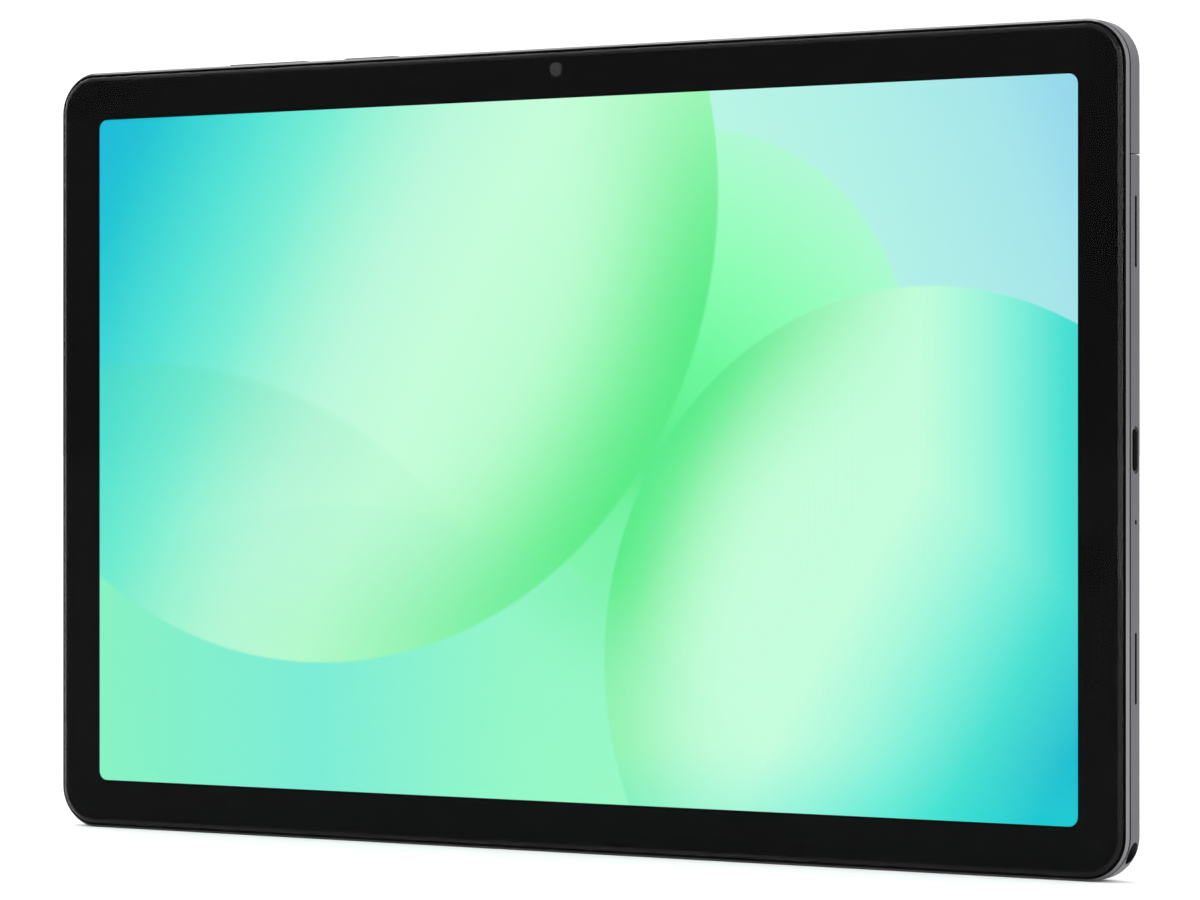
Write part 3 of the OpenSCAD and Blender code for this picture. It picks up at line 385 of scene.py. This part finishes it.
class Picture(Finish):
    """The lit picture: soft overlapping discs in greens and blues, made from distances alone."""

    def __init__(self):
        super().__init__("display_picture", Roughness=0.25, Specular_IOR_Level=0.0)
        axes = self.parts(self.place)
        self.x = self.times(self.less(axes[0], WINDOW_LEFT * MM), 1.0 / MM)
        self.y = self.times(self.less(axes[2], WINDOW_FLOOR * MM), 1.0 / MM)
        picture = self.ground()
        picture = self.left_disc(picture)
        picture = self.right_disc(picture)
        veil = self.smooth(self.disc(VEIL), 1.004, 0.99)
        share = self.times(veil, self.times(self.smooth(self.y, 0, 40), VEIL_WEIGHT))
        picture = self.mix(share, picture, linear(VEIL_BLUE))
        self.colour(self.noise(0.3), *SHADES["unlit_screen"])
        self.give(Emission_Color=picture, Emission_Strength=1.0)

    def slope(self, start_x, start_y, way_x, way_y, length):
        """From 0 to 1 along a line that leaves the start the way given."""
        along = self.add(self.times(self.less(self.x, start_x), way_x),
                         self.times(self.less(self.y, start_y), way_y))
        return self.sums("DIVIDE", along, length, clamp=True)

    def disc(self, shape, flat=1.0):
        """How far each point is from a disc's centre, with 1 at the disc's edge."""
        centre_x, centre_y, radius = shape
        dx = self.less(self.x, centre_x)
        dy = self.times(self.less(self.y, centre_y), flat)
        square = self.add(self.times(dx, dx), self.times(dy, dy))
        return self.sums("DIVIDE", self.sums("SQRT", square), radius)

    def ground(self):
        """Green below and pale blue above, with the disc that shows between the two big ones."""
        low = self.ramp(self.slope(*LOW_GROUND_LINE), LOW_GROUND)
        high = self.ramp(self.slope(*HIGH_GROUND_LINE), HIGH_GROUND)
        ground = self.mix(self.smooth(self.y, 45, 95), low, high)
        heart = self.disc(HEART)
        inside = self.smooth(self.disc(BACK_DISC), 1.01, 0.985)
        upper = self.smooth(self.y, 40, 70)
        ground = self.mix(self.times(inside, upper), ground, self.ramp(heart, BACK_DISC_STOPS))
        lower_heart = self.times(self.smooth(heart, 0.7, 0.08), self.less(1.0, upper))
        return self.mix(lower_heart, ground, linear(HEART_GREEN))

    def big_disc(self, under, far, stops, along, green, rim_share, rim_start):
        """A disc of its own colours over what is under it, greener towards part of its rim."""
        colour = self.ramp(along, stops)
        rim = self.sums("POWER", self.smooth(far, rim_start, 1.02), 1.2)
        colour = self.mix(self.times(rim, rim_share), colour, linear(green))
        return self.mix(self.smooth(far, *DISC_EDGE), under, colour)

    def left_disc(self, under):
        """The big disc at the upper left, with the edge of a lobe faintly across it."""
        far = self.disc(LEFT_DISC)
        lean = self.smooth(self.slope(*LEFT_RIM_LINE), 0.0, 0.9)
        rim_share = self.times(self.add(lean, 0.12), self.times(self.smooth(self.y, 185, 95), 0.88))
        result = self.big_disc(under, far, LEFT_DISC_STOPS, self.slope(*LEFT_DISC_LINE),
                               LEAF_GREEN, rim_share, LEFT_RIM_WEIGHT)
        lobe = self.disc(LOBE)
        edge = self.times(self.smooth(lobe, 1.006, 0.99), self.smooth(lobe, 0.62, 1.0))
        shade = self.times(self.times(edge, self.smooth(self.x, 118, 20)), LOBE_WEIGHT)
        return self.mix(self.times(shade, self.smooth(far, *DISC_EDGE)), result, linear(LOBE_GREEN))

    def right_disc(self, under):
        """The big disc at the lower right, a little bluer along its foot."""
        far = self.disc(RIGHT_DISC, RIGHT_DISC_FLAT)
        turn = self.smooth(self.slope(*RIGHT_RIM_LINE), 0.74, 0.12)
        rim_share = self.times(turn, self.range(self.smooth(self.y, 18, 55), 0.6, 1.0))
        along = self.sums("MAXIMUM", *(self.slope(*line) for line in RIGHT_DISC_LINES))
        result = self.big_disc(under, far, RIGHT_DISC_STOPS, along,
                               SPRING_GREEN, rim_share, RIGHT_RIM_WEIGHT)
        foot = self.times(self.smooth(self.y, 16, -4), self.smooth(far, *DISC_EDGE))
        return self.mix(self.times(foot, FOOT_WEIGHT), result, linear(FOOT_BLUE))


def clear_film(name, alpha, tint, **values):
    """Clear plastic film or adhesive. The tint is from 0 to 255."""
    f = Finish(name, Alpha=alpha, Roughness=0.12, **values)
    return f.colour(f.noise(20.0), linear(tint), linear(scaled(tint, 0.9))).material


def lens_glass():
    """Coated lens glass, dark with a violet sheen."""
    f = Finish("lens_glass", Transmission_Weight=0.75, IOR=1.6, Specular_IOR_Level=0.6)
    f.colour(f.noise(2.0), linear((96, 92, 122)), linear((78, 96, 112)))
    return f.rough(f.noise(0.8), 0.01, 0.04).material


def front_lens():
    """The small front camera's lens, nearly black."""
    f = Finish("front_lens", Transmission_Weight=0.5, IOR=1.25)
    f.colour(f.noise(1.0), linear((26, 26, 31)), linear((22, 26, 29)))
    return f.rough(f.noise(0.5), 0.02, 0.05).material


def ring_metal():
    """The rear camera's ring, with the fine circles that turning leaves."""
    f = Finish("ring_metal", Metallic=1.0)
    axes = f.parts(f.place)
    dx = f.less(axes[0], RING_CENTRE_X * MM)
    dz = f.less(axes[2], RING_CENTRE_Z * MM)
    far = f.sums("SQRT", f.add(f.times(dx, dx), f.times(dz, dz)))
    turned = f.waves(far, 0.09)
    lines = f.range(turned, 0.5, 1.0)
    f.colour(f.noise(4.0), *SHADES["turned_ring"])
    f.give(Roughness=f.times(f.range(f.noise(1.5), 0.2, 0.28), lines))
    return f.bump(turned, 0.002, 0.4).material


# ---- Finishes of the inside and of the sockets ----


def moulded(name, colour, rough=(0.38, 0.56), grain=0.25, relief=0.015, **values):
    """Moulded plastic or rubber with a spark-eroded grain."""
    f = Finish(name, **values)
    fine = f.noise(grain, detail=3.0)
    slow = f.noise(12.0, detail=3.0)
    shade = f.add(f.times(fine, 0.4), f.times(slow, 0.6))
    f.colour(shade, scaled(colour, 0.82), scaled(colour, 1.18))
    f.rough(slow, *rough)
    return f.bump(fine, relief, 0.5).material


def sheet_metal(name, colour, rough=(0.22, 0.38), line=(1.0, 1.0, 14.0)):
    """Rolled sheet, its grain drawn out along the axes whose numbers in line are small."""
    f = Finish(name, Metallic=1.0)
    lines = f.noise(0.9, detail=4.0, place=f.stretched(*line), rough=0.65)
    slow = f.noise(15.0)
    f.colour(f.add(f.times(lines, 0.6), f.times(slow, 0.4)), scaled(colour, 0.85), colour)
    f.rough(lines, *rough)
    return f.bump(lines, 0.004, 0.5).material


def flexible_circuit():
    """Amber film with copper tracks under it."""
    f = Finish("flex", Coat_Weight=0.3)
    axes = f.parts(f.place)
    tracks = f.smooth(f.waves(f.add(axes[0], axes[2]), 0.6), 0.1, 0.5)
    f.colour(tracks, *SHADES["amber_film"])
    f.rough(f.noise(3.0), 0.3, 0.42)
    return f.bump(tracks, 0.008, 0.5).material


def circuit_board():
    """Green solder resist over tracks, with tinned pads."""
    f = Finish("board", Coat_Weight=0.2)
    axes = f.parts(f.place)
    across = f.smooth(f.waves(axes[0], 0.9), 0.2, 0.5)
    along = f.smooth(f.waves(axes[2], 0.9), 0.2, 0.5)
    pick = f.smooth(f.noise(5.0), 0.47, 0.5)
    tracks = f.add(f.times(pick, across), f.times(f.less(1.0, pick), along))
    pads = f.smooth(f.cells(1.9), 0.14, 0.11)
    f.colour(pads, f.mix(tracks, *SHADES["solder_resist"]), TINNED_PAD)
    f.give(Metallic=f.times(pads, 0.9))
    f.rough(f.noise(2.0), 0.3, 0.45)
    return f.bump(f.add(tracks, pads), 0.01, 0.5).material


def battery_wrap():
    """Crinkled silver-black laminate round a pouch cell."""
    f = Finish("battery_wrap", Metallic=0.55)
    crease = f.noise(7.0, detail=6.0, rough=0.62)
    f.colour(crease, *SHADES["laminate"])
    f.rough(crease, 0.34, 0.5)
    return f.bump(crease, 0.06, 0.5).material


def graphite_sheet():
    """Heat spreading foil, with flakes that catch the light apart."""
    f = Finish("graphite_sheet", Metallic=0.4)
    flakes = f.cells(0.6, "Color")
    f.colour(f.parts(flakes)[0], *SHADES["graphite"])
    f.rough(f.noise(0.7), 0.4, 0.55)
    return f.bump(f.noise(0.4), 0.01, 0.6).material


def gold():
    """Plated contacts."""
    f = Finish("contact_gold", Metallic=1.0)
    f.colour(f.noise(0.4), *SHADES["gold"])
    f.rough(f.noise(0.25), 0.16, 0.3)
    return f.bump(f.noise(0.15), 0.002, 0.4).material


SLOT_FINISH = {
    "glass_front": cover_glass(),
    "black_print": black_print(),
    "clear_film": clear_film("clear_film", 0.35, (214, 232, 240)),
    "display_glass": Picture().material,
    "steel": sheet_metal("steel", (0.56, 0.56, 0.57)),
    "black_rubber": moulded("black_rubber", (0.014, 0.014, 0.015), rough=(0.6, 0.78)),
    "flex": flexible_circuit(),
    "frame_metal": frame_metal(),
    "housing_metal": blasted_metal("housing_metal", HOUSING_COLOUR),
    "painted_plastic": painted_plastic(),
    "plate_metal": sheet_metal("plate_metal", (0.5, 0.5, 0.52), rough=(0.3, 0.44),
                               line=(1.0, 1.0, 9.0)),
    "board": circuit_board(),
    "chip_black": moulded("chip_black", (0.02, 0.02, 0.022), rough=(0.45, 0.6), grain=0.12),
    "connector_cream": moulded("connector_cream", (0.68, 0.63, 0.5)),
    "contact_gold": gold(),
    "black_plastic": moulded("black_plastic", (0.008, 0.008, 0.0085), Specular_IOR_Level=0.3),
    "ring_metal": ring_metal(),
    "lens_glass": lens_glass(),
    "battery_wrap": battery_wrap(),
    "graphite_sheet": graphite_sheet(),
}

# A few pieces differ from the rest of their slot.
NODE_FINISH = {
    "glass_gasket": moulded("gasket_black", (0.0025, 0.0025, 0.0027), rough=(0.8, 0.9),
                            Specular_IOR_Level=0.0),
    "optical_adhesive": clear_film("optical_adhesive", 0.01, (64, 66, 66),
                                   Specular_IOR_Level=0.0),
    "speaker_meshes": sheet_metal("speaker_mesh_black", (0.03, 0.03, 0.032), rough=(0.4, 0.55)),
    # The charging socket's steel shell is coloured near-black: painted shade for the dark inside of
    # the socket's mouth.
    "usb_shell": sheet_metal("usb_shell_painted_shade", (0.07, 0.07, 0.073), rough=(0.34, 0.46),
                             line=(14.0, 1.0, 1.0)),
    "card_reader": sheet_metal("card_reader_steel", (0.5, 0.5, 0.51), rough=(0.26, 0.4),
                               line=(1.0, 1.0, 10.0)),
    "volume_key": blasted_metal("key_metal", KEY_COLOUR, grain=0.12, relief=0.008,
                                rough=(0.3, 0.4)),
    "front_camera": moulded("camera_barrel", (0.017, 0.017, 0.0175), grain=0.1, relief=0.004,
                            Specular_IOR_Level=0.1),
    "front_camera_lens": front_lens(),
    "rear_camera": moulded("rear_camera_barrel", (0.02, 0.02, 0.021), grain=0.1, relief=0.006),
}
NODE_FINISH["power_key"] = NODE_FINISH["volume_key"]

# Lamps shine through these onto what they cover.
LET_LIGHT_THROUGH = ("cover_glass", "optical_adhesive", "rear_camera_glass", "front_camera_lens")


def dress():
    """Gives each CAD node its own finish, or its slot's."""
    slots = {s["node"]: s["material_slot"] for s in frame["record"]["subparts"]}
    for name, node in NODES.items():
        material = NODE_FINISH.get(name) or SLOT_FINISH[slots[name]]
        node.data.materials.clear()
        node.data.materials.append(material)
    for name in LET_LIGHT_THROUGH:
        NODES[name].visible_shadow = False


# ---- Floor, light and camera ----


def add_object(name, data):
    thing = bpy.data.objects.new(name, data)
    bpy.context.scene.collection.objects.link(thing)
    return thing


def floor_finish():
    """Pale matt paper."""
    f = Finish("floor_paper", Specular_IOR_Level=0.1)
    f.colour(f.noise(90.0, detail=3.0), *SHADES["paper"])
    return f.rough(f.noise(15.0), 0.8, 0.9).material


def floor():
    """A wide round sheet, made of rings that get closer towards the middle."""
    mesh = bpy.data.meshes.new("floor")
    angles = [FULL_TURN * k / FLOOR_STEPS for k in range(FLOOR_STEPS)]
    points = [(0.0, 0.0, 0.0)]
    for i in range(FLOOR_RINGS):
        r = FLOOR_FIRST_RING * (FLOOR_RADIUS / FLOOR_FIRST_RING) ** (i / (FLOOR_RINGS - 1))
        points += [(r * math.cos(a), r * math.sin(a), 0.0) for a in angles]
    following = [(k, (k + 1) % FLOOR_STEPS) for k in range(FLOOR_STEPS)]
    faces = [(0, 1 + k, 1 + after) for k, after in following]
    for i in range(FLOOR_RINGS - 1):
        a, b = 1 + i * FLOOR_STEPS, 1 + (i + 1) * FLOOR_STEPS
        faces += [(a + k, b + k, b + after, a + after) for k, after in following]
    mesh.from_pydata(points, [], faces)
    mesh.materials.append(floor_finish())
    sheet = add_object("floor", mesh)
    sheet.location.z = CAD_BOX[0].z
    return sheet


def world():
    """A white room, a little brighter overhead."""
    room = bpy.data.worlds.new("studio")
    bpy.context.scene.world = room
    room.use_nodes = True
    tree = room.node_tree
    tree.nodes.clear()
    output = tree.nodes.new("ShaderNodeOutputWorld")
    light = tree.nodes.new("ShaderNodeBackground")
    way = tree.nodes.new("ShaderNodeTexCoord")
    axes = tree.nodes.new("ShaderNodeSeparateXYZ")
    strength = tree.nodes.new("ShaderNodeMapRange")
    light.inputs["Color"].default_value = (1.0, 1.0, 1.0, 1.0)
    heights = (0.0, ROOM_BRIGHT_HEIGHT)
    strengths = (ROOM_HORIZON_STRENGTH, ROOM_UPPER_STRENGTH)
    for socket, value in zip(strength.inputs, (0.0, *heights, *strengths)):
        socket.default_value = value
    for a, b in ((way.outputs["Generated"], axes.inputs[0]),
                 (axes.outputs[2], strength.inputs[0]),
                 (strength.outputs[0], light.inputs["Strength"]),
                 (light.outputs[0], output.inputs["Surface"])):
        tree.links.new(a, b)


def lamp(name, kind, place, aim, **settings):
    """A lamp at place that shines towards aim."""
    data = bpy.data.lights.new(name, kind)
    for key, value in settings.items():
        setattr(data, key, value)
    lamp_object = add_object(name, data)
    lamp_object.location = place
    way = Vector(aim) - Vector(place)
    lamp_object.rotation_euler = way.to_track_quat("-Z", "Y").to_euler()
    return lamp_object


def lamps():
    """A wide sun overhead, and two soft lamps that the camera doesn't see."""
    lamp("overhead", "SUN", SUN_FROM, (0.0, 0.0, 0.0),
         energy=SUN_STRENGTH, angle=math.radians(SUN_ANGLE))
    for name, (place, power) in SOFT_LAMPS.items():
        soft = lamp(name, "AREA", place, TABLET_MIDDLE, energy=power, size=SOFT_LAMP_SIDE)
        soft.visible_camera = False


def camera():
    """At the height of the tablet's middle, to its right, looking level."""
    data = bpy.data.cameras.new("camera")
    data.sensor_width = SENSOR_WIDTH
    data.lens = LENS_LENGTH
    data.clip_end = CAMERA_REACH
    eye = add_object("camera", data)
    eye.location = CAMERA_PLACE
    eye.rotation_euler = Euler((math.pi / 2, 0.0, math.radians(CAMERA_TURN)))
    bpy.context.scene.camera = eye


dress()
floor()
world()
lamps()
camera()
bpy.context.scene.view_settings.view_transform = "Standard"
